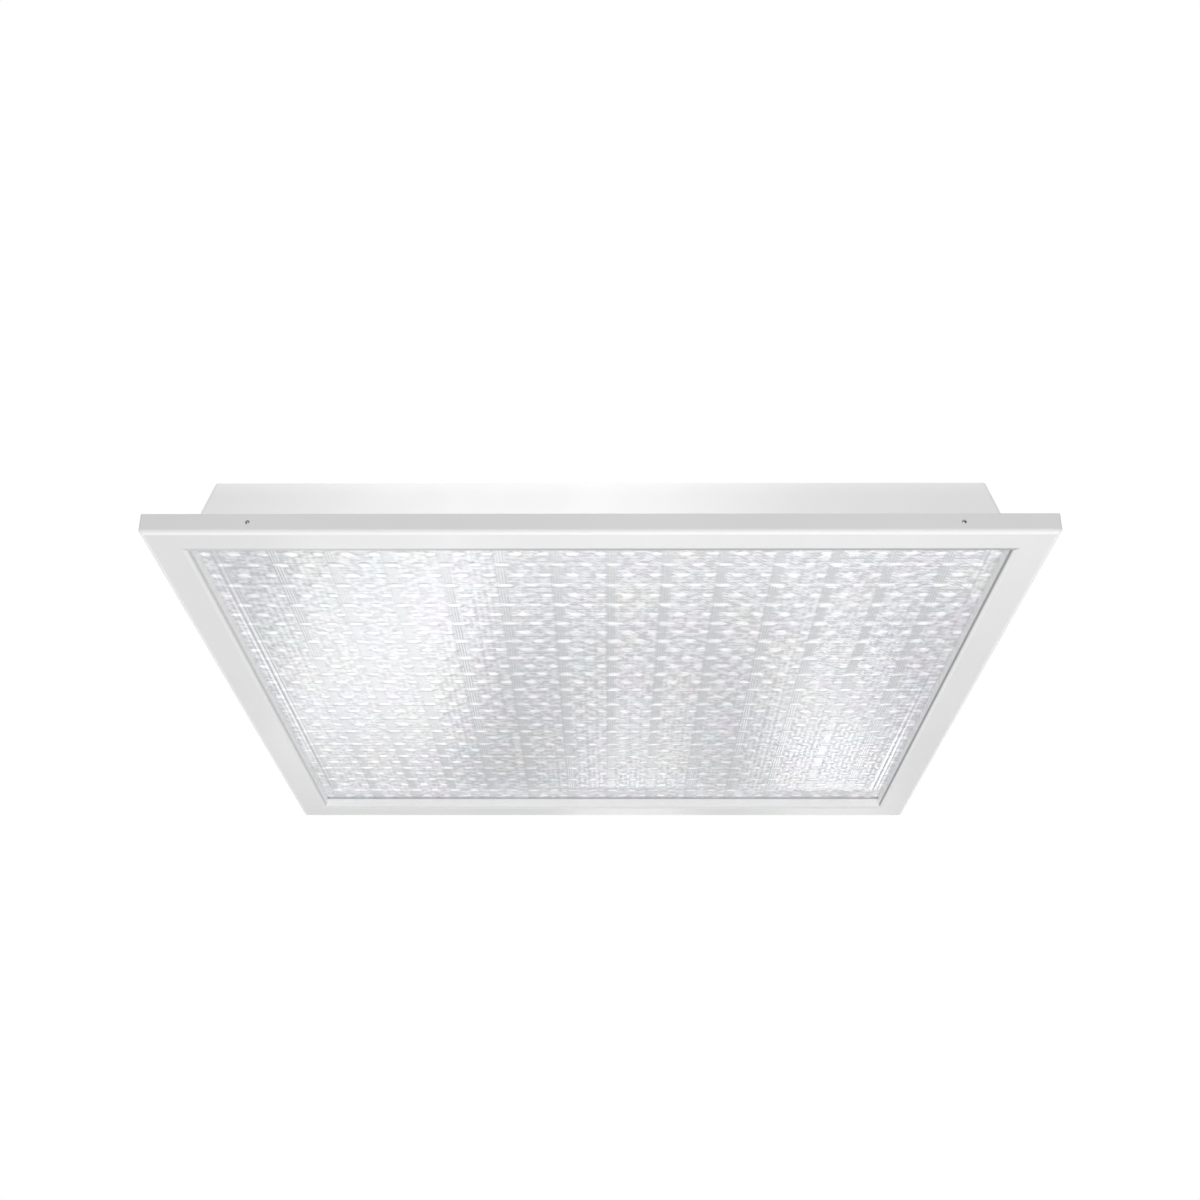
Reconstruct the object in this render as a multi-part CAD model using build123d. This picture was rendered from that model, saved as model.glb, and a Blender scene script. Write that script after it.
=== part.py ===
from build123d import *
import math
import os

os.makedirs("parts", exist_ok=True)

# A square recessed ceiling light as it hangs. z = 0 is the underside of its frame, +Z points up
# into the ceiling, and the side with the two catch holes faces -Y. Lengths are in millimetres.

# Common to the sheet steel pieces
SHEET = 1.0
GAP = 0.4                  # between the door and the housing
FIT = 0.3                  # between pieces that lie side by side
RUNNING = 0.05             # round a pin that turns or slides

# Door frame
FRAME_SIZE = 595.0
FRAME_HEIGHT = 13.8
BORDER = 26.5              # face between the outside and the lens opening
CORNER_RADIUS = 1.5
EDGE_RADIUS = 3.0          # bend from side to face
LIP_RADIUS = 2.2           # bend from face to the return round the opening
LENS_SEAT = 10.3           # top of that return, which carries the lens

# Lens
LENS_LAP = 9.0             # lies past the opening, each side
LENS_THICKNESS = 1.6
BAND_PITCH = 38.2
BAND_OFFSET = 7.6          # of the band nearest the middle
BAND_FLUTES = 3
FLUTE_WIDTH = 2.0
FLUTE_DEPTH = 0.5

# Lens clips
CLIP_SHEET = 0.5
CLIP_WIDTH = 16.0
CLIP_FOOT = 8.0
CLIP_FINGER = 3.6
CLIP_INSET = 147.5         # from the frame's outside to the middle of a clip
CLIP_PLAY = 0.6            # beside the lens

# Tray
TRAY_HEIGHT = 57.0         # top of the tray above the underside of the frame
TRAY_SETBACK = 25.0        # from the frame's outside to the foot of the tray's wall
WALL_SLOPE = 12.9          # degrees from upright
TRAY_CORNER = 3.0
BEAD_LENGTH = 330.0
BEAD_WIDTH = 16.0
BEAD_RISE = 1.5
BEAD_TAPER = 30.0          # degrees from upright
BEAD_INSET = 32.0          # from the edge of the tray's top to the middle of a bead

# Foam gasket under the tray's flange
GASKET_WIDTH = 4.0
GASKET_THICKNESS = 0.5

# Reflector liner
LINER_SHEET = 0.5
LINER_LIP = 8.0
LINER_DROP = 2.0           # from the inside of the tray's top to the liner

# Light emitting diode boards
BOARD_COUNT = 7
BOARD_WIDTH = 24.0
BOARD_END = 3.0            # between a board's end and the liner's window
BOARD_SIDE = 12.0          # between the outermost boards and the liner's window
BOARD_THICKNESS = 1.5
LED_COUNT = 16
LED_END = 17.5             # from a board's end to the first diode
LED_WIDTH = 3.0
LED_HEIGHT = 0.8
SCREW_RADIUS = 1.5
SCREW_REACH = 2.5          # of a cover screw, inside the box's wall
HEAD_RADIUS = 2.8
HEAD_HEIGHT = 1.4
CONNECTOR_LENGTH = 10.0
CONNECTOR_WIDTH = 7.0
CONNECTOR_HEIGHT = 4.0

# Hinge
HINGE_INSET = 97.5         # from the frame's outside to the middle of a knuckle
HINGE_HEIGHT = 10.6
KNUCKLE_RADIUS = 2.2
KNUCKLE_LENGTH = 24.0
KNUCKLE_GAP = 0.1          # between the tube and the frame's side
PIN_RADIUS = 1.0
EAR_SHEET = 1.5
EAR_RADIUS = 2.0
HINGE_PLATE = 1.2

# Catches
CATCH_INSET = 66.3         # from the frame's outside to a pin, before the offset
CATCH_OFFSET = 3.7         # of both pins to the right
CATCH_HEIGHT = 7.8
CATCH_HOLE_RADIUS = 1.5
CATCH_WIDTH = 12.0
CATCH_DEPTH = 14.0
CATCH_WALL = 2.0
CATCH_FOOT = 3.6           # under the line of the pin
CATCH_PIN_RADIUS = 1.1
COLLAR_RADIUS = 2.0
COLLAR_LENGTH = 1.0
CATCH_TRAVEL = 3.0
SPRING_WIRE = 0.4
SPRING_TURNS = 4
SPRING_MEAN_RADIUS = 1.6

# Driver box on the tray, as long as what stands in it
BOX_WIDTH = 90.0
BOX_HEIGHT = 34.0
BOX_CORNER = 3.0
COVER_SKIRT = 9.0
COVER_SCREW_SPACING = 50.0
DRIVER_LENGTH = 190.0
DRIVER_WIDTH = 46.0
DRIVER_HEIGHT = 27.0
DRIVER_EAR = 9.0
LEAD_INSET = 18.0          # from the lead bush to the end of the box
LEAD_RADIUS = 3.0
LEAD_BUSH_LIP = 1.2
TERMINAL_LENGTH = 26.0
TERMINAL_WIDTH = 32.0
TERMINAL_HEIGHT = 17.0
TERMINAL_WAYS = 3
TERMINAL_CHAMFER = 4.0
MOUTH_SIZE = 6.4           # square wire mouths in both sides
MOUTH_DEPTH = 6.5
MOUTH_HEIGHT = 7.6
TERMINAL_SCREW_RADIUS = 2.6
TERMINAL_SCREW_DEPTH = 5.0
WIRING_GAP = 21.2          # between the terminals and the clamp
ENTRY_RADIUS = 5.0         # clear bore of the cable entry
ENTRY_HEIGHT = 15.0        # over the tray
CABLE_BUSH_LIP = 3.0
BUSH_WALL = 1.5
BUSH_FLANGE = 3.0
CLAMP_INSET = 14.0         # from the end of the box to the middle of the clamp
CLAMP_SPACING = 24.0
CLAMP_LENGTH = 8.0
CLAMP_FOOT = 9.0
CLAMP_WALL = 3.0
STUD_RADIUS = 2.0
STUD_HEIGHT = 12.0
STUD_INSET = 12.0          # from the long side of the box
WASHER_RADIUS = 4.4
NUT_RADIUS = 3.8
NUT_HEIGHT = 3.2

# Hanger brackets
HANGER_INSET = 97.5        # from the frame's outside to a rod, both ways
HANGER_SHEET = 1.5
HANGER_WIDTH = 30.0
HANGER_FOOT = 24.0
HANGER_LEDGE = 24.0
HANGER_RISE = 15.5
HANGER_BEND = 1.0
HANGER_HOLE_RADIUS = 3.25
RIVET_RADIUS = 1.6
RIVET_HEAD = 3.2
RIVET_HEIGHT = 1.2
RIVET_CHAMFER = 0.8

# Worked out from the sizes above
HALF = FRAME_SIZE / 2
INSIDE = HALF - SHEET                          # inner face of the frame's side
OPENING = FRAME_SIZE - 2 * BORDER
LENS_TOP = LENS_SEAT + LENS_THICKNESS
LENS_HALF = OPENING / 2 + LENS_LAP
FLANGE_LOW = FRAME_HEIGHT - SHEET              # underside of the tray's flange
FLANGE_EDGE = INSIDE - GAP
HINGE_Y = INSIDE - KNUCKLE_RADIUS - KNUCKLE_GAP
SWING = math.hypot(HALF - HINGE_Y, FRAME_HEIGHT - HINGE_HEIGHT)
HINGE_EDGE = HINGE_Y - SWING - GAP             # the flange ends here on the hinge side
SLOPE = math.tan(math.radians(WALL_SLOPE))
WALL = SHEET / math.cos(math.radians(WALL_SLOPE))
LINER_SKIN = LINER_SHEET / math.cos(math.radians(WALL_SLOPE))
CEILING = TRAY_HEIGHT - SHEET                  # inner face of the tray's top
LINER_TOP = CEILING - LINER_DROP
BOX_FLOOR = TRAY_HEIGHT + SHEET
BOX_TOP = TRAY_HEIGHT + BOX_HEIGHT
CLIP_SPACING = FRAME_SIZE - 2 * CLIP_INSET
HINGE_SPACING = FRAME_SIZE - 2 * HINGE_INSET
CATCH_XS = [CATCH_OFFSET + side * (FRAME_SIZE / 2 - CATCH_INSET) for side in (-1, 1)]
HANGER_SPACING = FRAME_SIZE - 2 * HANGER_INSET


def tray_half(z):
    """Half of the tray's outer width at a height."""
    return HALF - TRAY_SETBACK - (z - FLANGE_LOW) * SLOPE


def liner_half(z):
    """Half of the liner's outer width at a height."""
    return tray_half(z) - WALL - GAP


WINDOW_HALF = liner_half(LINER_TOP) - LINER_SKIN - LINER_LIP
BOARD_LENGTH = 2 * (WINDOW_HALF - BOARD_END)
BOARD_PITCH = 2 * (WINDOW_HALF - BOARD_SIDE - BOARD_WIDTH / 2) / (BOARD_COUNT - 1)
BOARD_XS = [(index - (BOARD_COUNT - 1) / 2) * BOARD_PITCH for index in range(BOARD_COUNT)]
LED_PITCH = (BOARD_LENGTH - 2 * LED_END) / (LED_COUNT - 1)
BOARD_SCREW_SPACING = (LED_COUNT - 2) * LED_PITCH     # midway between two diodes


def block(x, y, z):
    """A box between pairs of limits."""
    middle = Pos((x[0] + x[1]) / 2, (y[0] + y[1]) / 2, (z[0] + z[1]) / 2)
    return middle * Box(x[1] - x[0], y[1] - y[0], z[1] - z[0])


def rod(radius, start, end):
    """A round bar from one point to another."""
    axis = Vector(*end) - Vector(*start)
    return extrude(Plane(origin=start, z_dir=axis) * Circle(radius), axis.length)


def square_prism(size, low, high, radius=0.0):
    """An upright square prism about the Z axis, with round corners."""
    outline = RectangleRounded(size, size, radius) if radius > 0 else Rectangle(size, size)
    return Pos(0, 0, low) * extrude(outline, high - low)


def frustum(half, low, high, radius):
    """A tapered square prism about the Z axis, as steep as the tray's walls."""
    body = Pos(0, 0, low) * extrude(Rectangle(2 * half, 2 * half), high - low, taper=WALL_SLOPE)
    slanted = body.edges().filter_by(lambda edge: abs(edge.tangent_at(0.5).Z) > 0.5)
    return fillet(slanted, radius)


def pair(spacing):
    """The two X places of a pair of like pieces."""
    return (-spacing / 2, spacing / 2)


def save(name, solids):
    """Writes one named piece, or a group of like pieces."""
    shape = Compound(solids) if isinstance(solids, list) else solids
    shape.label = name
    export_step(shape, f"parts/{name}.step")


def square_edges(shape, half, z):
    """The four straight edges of a square about the Z axis."""
    return [
        edge
        for edge in shape.edges().filter_by(GeomType.LINE).filter_by_position(Axis.Z, z, z)
        if abs(max(abs(edge.center().X), abs(edge.center().Y)) - half) < FIT
    ]


# Door frame: a channel of folded sheet that goes round the lens. The side wall and the face meet
# in a bend, and a return stands up round the opening.
def door_frame():
    outer = square_prism(FRAME_SIZE, 0, FRAME_HEIGHT, CORNER_RADIUS)
    outer = fillet(outer.faces().sort_by(Axis.Z)[0].edges(), EDGE_RADIUS)
    hollow = square_prism(2 * INSIDE, SHEET, FRAME_HEIGHT + SHEET, CORNER_RADIUS - SHEET / 2)
    hollow = fillet(hollow.faces().sort_by(Axis.Z)[0].edges(), EDGE_RADIUS - SHEET)
    lip = square_prism(OPENING + 2 * SHEET, 0, LENS_SEAT)
    shell = outer - hollow + lip - square_prism(OPENING, -SHEET, FRAME_HEIGHT)
    shell = fillet(square_edges(shell, OPENING / 2 + SHEET, SHEET), LIP_RADIUS - SHEET)
    shell = fillet(square_edges(shell, OPENING / 2, 0), LIP_RADIUS)
    for x in CATCH_XS:
        start = (x, -HALF - SHEET, CATCH_HEIGHT)
        end = (x, -INSIDE + SHEET, CATCH_HEIGHT)
        shell -= rod(CATCH_HOLE_RADIUS, start, end)
    return shell


# Lens: a moulded prismatic sheet that lies on the return. Bands of flutes run along it below.
def lens():
    sheet = square_prism(2 * LENS_HALF, LENS_SEAT, LENS_TOP)
    reach = OPENING / 2 - FLUTE_WIDTH
    first = math.ceil((-reach - BAND_OFFSET) / BAND_PITCH)
    last = math.floor((reach - BAND_OFFSET) / BAND_PITCH)
    flutes = []
    for band in range(first, last + 1):
        for flute in range(BAND_FLUTES):
            x = BAND_OFFSET + band * BAND_PITCH + (flute - (BAND_FLUTES - 1) / 2) * FLUTE_WIDTH
            ridge = Polyline(
                (x - FLUTE_WIDTH / 2, LENS_SEAT),
                (x + FLUTE_WIDTH / 2, LENS_SEAT),
                (x, LENS_SEAT - FLUTE_DEPTH),
                close=True,
            )
            flutes.append(extrude(Plane.XZ * make_face(ridge), reach, both=True))
    return sheet + flutes


# Lens clips: strips of spring steel on the floor of the channel, bent over the lens's edge.
def lens_clips():
    inner = LENS_HALF + CLIP_PLAY
    outer = inner + CLIP_SHEET
    profile = Polyline(
        (inner + CLIP_FOOT, SHEET),
        (inner, SHEET),
        (inner, LENS_TOP),
        (outer - CLIP_FINGER, LENS_TOP),
        (outer - CLIP_FINGER, LENS_TOP + CLIP_SHEET),
        (outer, LENS_TOP + CLIP_SHEET),
        (outer, SHEET + CLIP_SHEET),
        (inner + CLIP_FOOT, SHEET + CLIP_SHEET),
        close=True,
    )
    strip = extrude(Plane.XZ * make_face(profile), CLIP_WIDTH / 2, both=True)
    return [
        Rot(0, 0, turn) * Pos(0, place, 0) * strip
        for turn in (0, 90, 180, 270)
        for place in pair(CLIP_SPACING)
    ]


# Hinge knuckles: a short tube and its leaf, welded inside the far wall of the door frame.
def hinge_knuckles():
    knuckles = []
    for x in pair(HINGE_SPACING):
        ends = (x - KNUCKLE_LENGTH / 2, x + KNUCKLE_LENGTH / 2)
        tube = rod(KNUCKLE_RADIUS, (ends[0], HINGE_Y, HINGE_HEIGHT), (ends[1], HINGE_Y, HINGE_HEIGHT))
        leaf = block(ends, (INSIDE - SHEET, INSIDE), (EDGE_RADIUS, HINGE_HEIGHT))
        bore = rod(
            PIN_RADIUS + RUNNING,
            (ends[0] - SHEET, HINGE_Y, HINGE_HEIGHT),
            (ends[1] + SHEET, HINGE_Y, HINGE_HEIGHT),
        )
        knuckles.append(tube + leaf - bore)
    return knuckles


# Hinge brackets: a plate welded under the tray's flange, with two ears that hold the pin.
def hinge_brackets():
    inner = LENS_HALF + CLIP_PLAY + SHEET
    brackets = []
    for x in pair(HINGE_SPACING):
        near = KNUCKLE_LENGTH / 2 + GAP
        far = near + EAR_SHEET
        bracket = block((x - far, x + far), (inner, HINGE_EDGE), (FLANGE_LOW - HINGE_PLATE, FLANGE_LOW))
        arm = Polyline(
            (inner, FLANGE_LOW - HINGE_PLATE),
            (HINGE_EDGE, FLANGE_LOW - HINGE_PLATE),
            (HINGE_Y, HINGE_HEIGHT + EAR_RADIUS),
            (HINGE_Y, HINGE_HEIGHT - EAR_RADIUS),
            close=True,
        )
        for side in (x - far, x + near):
            outline = make_face(arm) + Pos(HINGE_Y, HINGE_HEIGHT) * Circle(EAR_RADIUS)
            bracket += extrude(Plane.YZ.offset(side) * outline, EAR_SHEET)
        bore = rod(
            PIN_RADIUS + RUNNING,
            (x - far - SHEET, HINGE_Y, HINGE_HEIGHT),
            (x + far + SHEET, HINGE_Y, HINGE_HEIGHT),
        )
        brackets.append(bracket - bore)
    return brackets


# Hinge pins: a steel pin with a head at one end, through both ears and the knuckle.
def hinge_pins():
    reach = KNUCKLE_LENGTH / 2 + GAP + EAR_SHEET
    pins = []
    for x in pair(HINGE_SPACING):
        shank = rod(
            PIN_RADIUS,
            (x - reach - EAR_SHEET, HINGE_Y, HINGE_HEIGHT),
            (x + reach + EAR_SHEET / 2, HINGE_Y, HINGE_HEIGHT),
        )
        head = rod(
            EAR_RADIUS,
            (x - reach - EAR_SHEET, HINGE_Y, HINGE_HEIGHT),
            (x - reach, HINGE_Y, HINGE_HEIGHT),
        )
        pins.append(shank + head)
    return pins


# Catches: on each side a block under the near flange holds a sprung pin behind its hole.
CATCH_FRONT = -INSIDE + SHEET                  # outer end of the block
CATCH_BACK = CATCH_FRONT + CATCH_DEPTH
PIN_TIP = -INSIDE + GAP
COLLAR_FRONT = CATCH_FRONT + CATCH_WALL
COLLAR_BACK = COLLAR_FRONT + COLLAR_LENGTH
SPRING_END = CATCH_BACK - CATCH_WALL


def catch_housings():
    housings = []
    for x in CATCH_XS:
        body = block(
            (x - CATCH_WIDTH / 2, x + CATCH_WIDTH / 2),
            (CATCH_FRONT, CATCH_BACK),
            (CATCH_HEIGHT - CATCH_FOOT, FLANGE_LOW),
        )
        body = fillet(body.edges().filter_by(Axis.Y).group_by(Axis.Z)[0], SHEET)
        hole = rod(
            CATCH_PIN_RADIUS + RUNNING,
            (x, CATCH_FRONT - SHEET, CATCH_HEIGHT),
            (x, CATCH_BACK + SHEET, CATCH_HEIGHT),
        )
        chamber = rod(
            COLLAR_RADIUS + FIT,
            (x, COLLAR_FRONT, CATCH_HEIGHT),
            (x, SPRING_END, CATCH_HEIGHT),
        )
        housings.append(body - hole - chamber)
    return housings


def catch_pin(x):
    length = (PIN_TIP, CATCH_BACK - CATCH_TRAVEL / 2)
    shank = rod(CATCH_PIN_RADIUS, (x, length[0], CATCH_HEIGHT), (x, length[1], CATCH_HEIGHT))
    shank = chamfer(shank.faces().sort_by(Axis.Y)[0].edges(), CATCH_PIN_RADIUS / 3)
    collar = rod(COLLAR_RADIUS, (x, COLLAR_FRONT, CATCH_HEIGHT), (x, COLLAR_BACK, CATCH_HEIGHT))
    return shank + collar


def catch_spring(x):
    height = SPRING_END - COLLAR_BACK - SPRING_WIRE
    coil = Helix(height / SPRING_TURNS, height, SPRING_MEAN_RADIUS)
    start = Plane(origin=coil @ 0, z_dir=coil % 0)
    wire = sweep(start * RegularPolygon(SPRING_WIRE / 2, 4), path=coil)
    place = Pos(x, COLLAR_BACK + SPRING_WIRE / 2, CATCH_HEIGHT)
    return place * Rot(-90, 0, 0) * wire


# Tray: one folded sheet with sloping walls, a flange round its foot and beads pressed in its top.
def bead_places():
    inset = tray_half(TRAY_HEIGHT) - BEAD_INSET
    return [Rot(0, 0, turn) * Pos(0, inset, 0) for turn in (0, 90, 180, 270)]


def rivet_places():
    """Two rivets in the foot of each hanger bracket."""
    inner = HANGER_SPACING / 2 - HANGER_LEDGE / 2 - HANGER_FOOT / 2
    return [
        (x * inner, y * HANGER_SPACING / 2 + side * HANGER_WIDTH / 4)
        for x in (-1, 1)
        for y in (-1, 1)
        for side in (-1, 1)
    ]


LEAD_X = (BOARD_XS[-3] + BOARD_XS[-2]) / 2  # lead bush through the floor of the box, between boards


def tray():
    shell = frustum(tray_half(FLANGE_LOW), FLANGE_LOW, TRAY_HEIGHT, TRAY_CORNER)
    flange = block((-FLANGE_EDGE, FLANGE_EDGE), (-FLANGE_EDGE, HINGE_EDGE), (FLANGE_LOW, FRAME_HEIGHT))
    shell += flange
    ridge = extrude(SlotOverall(BEAD_LENGTH, BEAD_WIDTH), BEAD_RISE, taper=BEAD_TAPER)
    dent = SlotOverall(BEAD_LENGTH - 2 * SHEET, BEAD_WIDTH - 2 * SHEET)
    hollow = extrude(dent, BEAD_RISE, taper=BEAD_TAPER)
    for place in bead_places():
        shell += Pos(0, 0, TRAY_HEIGHT) * place * ridge
    inner = tray_half(FLANGE_LOW - SHEET) - WALL
    shell -= frustum(inner, FLANGE_LOW - SHEET, CEILING, TRAY_CORNER - SHEET)
    for place in bead_places():
        shell -= Pos(0, 0, CEILING) * place * hollow
    for x, y in rivet_places():
        shell -= rod(RIVET_RADIUS + RUNNING, (x, y, CEILING - SHEET), (x, y, TRAY_HEIGHT + SHEET))
    for x in BOARD_XS:
        for y in pair(BOARD_SCREW_SPACING):
            shell -= rod(SCREW_RADIUS + RUNNING, (x, y, CEILING - SHEET), (x, y, TRAY_HEIGHT + SHEET))
    lead = rod(LEAD_RADIUS + BUSH_WALL, (LEAD_X, 0, CEILING - SHEET), (LEAD_X, 0, TRAY_HEIGHT + SHEET))
    return shell - lead


def tray_gasket():
    outer = 2 * (tray_half(FLANGE_LOW) + GASKET_WIDTH)
    low = FLANGE_LOW - GASKET_THICKNESS
    ring = square_prism(outer, low, FLANGE_LOW, TRAY_CORNER + GASKET_WIDTH)
    return ring - square_prism(2 * tray_half(FLANGE_LOW), low - SHEET, FLANGE_LOW + SHEET, TRAY_CORNER)


# Reflector liner: thin white sheet inside the tray's walls, with a lip below the boards' ends.
def reflector():
    low = FRAME_HEIGHT - SHEET / 2
    shell = frustum(liner_half(low), low, LINER_TOP, TRAY_CORNER)
    inner = liner_half(low - SHEET) - LINER_SKIN
    shell -= frustum(inner, low - SHEET, LINER_TOP - LINER_SHEET, TRAY_CORNER)
    return shell - square_prism(2 * WINDOW_HALF, LINER_TOP - 2 * SHEET, LINER_TOP + SHEET)


# Boards: seven aluminium strips under the tray's top, each with a row of light emitting diodes.
BOARD_LOW = CEILING - BOARD_THICKNESS


def led_board(x):
    board = block(
        (x - BOARD_WIDTH / 2, x + BOARD_WIDTH / 2),
        (-BOARD_LENGTH / 2, BOARD_LENGTH / 2),
        (BOARD_LOW, CEILING),
    )
    for y in pair(BOARD_SCREW_SPACING):
        board -= rod(SCREW_RADIUS + RUNNING, (x, y, BOARD_LOW - SHEET), (x, y, CEILING + SHEET))
    return board


def led_row(x):
    chip = Box(LED_WIDTH, LED_WIDTH, LED_HEIGHT)
    first = -(LED_COUNT - 1) / 2 * LED_PITCH
    return [
        Pos(x, first + index * LED_PITCH, BOARD_LOW - LED_HEIGHT / 2) * chip
        for index in range(LED_COUNT)
    ]


def board_screws():
    screws = []
    for x in BOARD_XS:
        for y in pair(BOARD_SCREW_SPACING):
            head = rod(HEAD_RADIUS, (x, y, BOARD_LOW - HEAD_HEIGHT), (x, y, BOARD_LOW))
            shank = rod(SCREW_RADIUS, (x, y, BOARD_LOW - HEAD_HEIGHT / 2), (x, y, TRAY_HEIGHT + SHEET))
            screws.append(head + shank)
    return screws


def board_connectors():
    y = BOARD_LENGTH / 2 - CONNECTOR_LENGTH / 2 - SHEET
    body = Box(CONNECTOR_WIDTH, CONNECTOR_LENGTH, CONNECTOR_HEIGHT)
    slot = Box(CONNECTOR_WIDTH - 2 * SHEET, CONNECTOR_LENGTH, CONNECTOR_HEIGHT - 2 * SHEET)
    shell = body - Pos(0, SHEET, 0) * slot
    side = BOARD_WIDTH / 2 - CONNECTOR_WIDTH / 2 - SHEET
    return [Pos(x + side, y, BOARD_LOW - CONNECTOR_HEIGHT / 2) * shell for x in BOARD_XS]


# Driver box: a folded sheet box on the tray, with its cover, holding the driver and the mains
# terminals.
ENTRY_Z = TRAY_HEIGHT + ENTRY_HEIGHT
BUSH_RADIUS = ENTRY_RADIUS + BUSH_WALL
LEAD_FLANGE = LEAD_RADIUS + BUSH_WALL + BUSH_FLANGE
DRIVER_X = LEAD_X - LEAD_FLANGE - FIT - DRIVER_EAR - DRIVER_LENGTH / 2
TERMINAL_X = DRIVER_X - DRIVER_LENGTH / 2 - DRIVER_EAR - TERMINAL_LENGTH / 2 - SHEET
CLAMP_X = TERMINAL_X - TERMINAL_LENGTH / 2 - WIRING_GAP - CLAMP_LENGTH / 2
BOX_ENDS = (CLAMP_X - CLAMP_INSET, LEAD_X + LEAD_INSET)
BOX_LENGTH = BOX_ENDS[1] - BOX_ENDS[0]
BOX_MIDDLE = (BOX_ENDS[0] + BOX_ENDS[1]) / 2
DRIVER_SCREW_XS = [DRIVER_X + side * (DRIVER_LENGTH + DRIVER_EAR) / 2 for side in (-1, 1)]
STUD_PLACE = (TERMINAL_X, BOX_WIDTH / 2 - STUD_INSET)


def driver_box():
    outline = RectangleRounded(BOX_LENGTH, BOX_WIDTH, BOX_CORNER)
    room = RectangleRounded(BOX_LENGTH - 2 * SHEET, BOX_WIDTH - 2 * SHEET, BOX_CORNER - SHEET)
    shell = Pos(BOX_MIDDLE, 0, TRAY_HEIGHT) * extrude(outline, BOX_HEIGHT)
    shell -= Pos(BOX_MIDDLE, 0, BOX_FLOOR) * extrude(room, BOX_HEIGHT)
    end = BOX_ENDS[0]
    shell -= rod(BUSH_RADIUS, (end - SHEET, 0, ENTRY_Z), (end + 2 * SHEET, 0, ENTRY_Z))
    lead = rod(LEAD_RADIUS + BUSH_WALL, (LEAD_X, 0, TRAY_HEIGHT - SHEET), (LEAD_X, 0, BOX_FLOOR + SHEET))
    shell -= lead
    for x in DRIVER_SCREW_XS:
        shell -= rod(SCREW_RADIUS + RUNNING, (x, 0, TRAY_HEIGHT), (x, 0, BOX_FLOOR + SHEET))
    for side in (-1, 1):
        for y in pair(COVER_SCREW_SPACING):
            shell -= cover_screw_hole(side, y)
    return shell


def cover_screw_hole(side, y):
    z = BOX_TOP - COVER_SKIRT / 2
    start = (BOX_MIDDLE + side * (BOX_LENGTH / 2 - 2 * SHEET), y, z)
    end = (BOX_MIDDLE + side * (BOX_LENGTH / 2 + 2 * SHEET + FIT), y, z)
    return rod(SCREW_RADIUS + RUNNING, start, end)


def driver_cover():
    spare = 2 * (FIT + SHEET)
    outline = RectangleRounded(BOX_LENGTH + spare, BOX_WIDTH + spare, BOX_CORNER + FIT + SHEET)
    room = RectangleRounded(BOX_LENGTH + 2 * FIT, BOX_WIDTH + 2 * FIT, BOX_CORNER + FIT)
    lid = Pos(BOX_MIDDLE, 0, BOX_TOP - COVER_SKIRT) * extrude(outline, COVER_SKIRT + SHEET)
    lid = chamfer(lid.faces().sort_by(Axis.Z)[-1].edges(), SHEET / 2)
    lid -= Pos(BOX_MIDDLE, 0, BOX_TOP - COVER_SKIRT) * extrude(room, COVER_SKIRT)
    for side in (-1, 1):
        for y in pair(COVER_SCREW_SPACING):
            lid -= cover_screw_hole(side, y)
    return lid


def cover_screws():
    screws = []
    z = BOX_TOP - COVER_SKIRT / 2
    for side in (-1, 1):
        face = BOX_MIDDLE + side * (BOX_LENGTH / 2 + FIT + SHEET)
        tip = BOX_MIDDLE + side * (BOX_LENGTH / 2 - SCREW_REACH)
        for y in pair(COVER_SCREW_SPACING):
            head = rod(HEAD_RADIUS, (face, y, z), (face + side * HEAD_HEIGHT, y, z))
            shank = rod(SCREW_RADIUS, (tip, y, z), (face, y, z))
            screws.append(head + shank)
    return screws


def led_driver():
    case = block(
        (DRIVER_X - DRIVER_LENGTH / 2, DRIVER_X + DRIVER_LENGTH / 2),
        (-DRIVER_WIDTH / 2, DRIVER_WIDTH / 2),
        (BOX_FLOOR, BOX_FLOOR + DRIVER_HEIGHT),
    )
    case = chamfer(case.faces().sort_by(Axis.Z)[-1].edges(), 2 * SHEET)
    ears = RectangleRounded(DRIVER_LENGTH + 2 * DRIVER_EAR, DRIVER_WIDTH / 2, BOX_CORNER)
    case += Pos(DRIVER_X, 0, BOX_FLOOR) * extrude(ears, SHEET)
    for x in DRIVER_SCREW_XS:
        case -= rod(SCREW_RADIUS + RUNNING, (x, 0, BOX_FLOOR - SHEET), (x, 0, BOX_FLOOR + 2 * SHEET))
    return case


def driver_screws():
    top = BOX_FLOOR + SHEET
    return [
        rod(HEAD_RADIUS, (x, 0, top), (x, 0, top + HEAD_HEIGHT))
        + rod(SCREW_RADIUS, (x, 0, TRAY_HEIGHT), (x, 0, top))
        for x in DRIVER_SCREW_XS
    ]


def terminal_block():
    low = BOX_FLOOR
    top = low + TERMINAL_HEIGHT
    half = TERMINAL_LENGTH / 2
    body = block(
        (TERMINAL_X - half, TERMINAL_X + half),
        (-TERMINAL_WIDTH / 2, TERMINAL_WIDTH / 2),
        (low, top),
    )
    body = chamfer(body.faces().sort_by(Axis.Z)[-1].edges().filter_by(Axis.Y), TERMINAL_CHAMFER)
    mouth = Box(2 * MOUTH_DEPTH, MOUTH_SIZE, MOUTH_SIZE)
    for way in range(TERMINAL_WAYS):
        y = (way - (TERMINAL_WAYS - 1) / 2) * TERMINAL_WIDTH / TERMINAL_WAYS
        for side in (-1, 1):
            body -= Pos(TERMINAL_X + side * half, y, low + MOUTH_HEIGHT) * mouth
        body -= rod(
            TERMINAL_SCREW_RADIUS,
            (TERMINAL_X, y, top - TERMINAL_SCREW_DEPTH),
            (TERMINAL_X, y, top + SHEET),
        )
    return body


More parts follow.
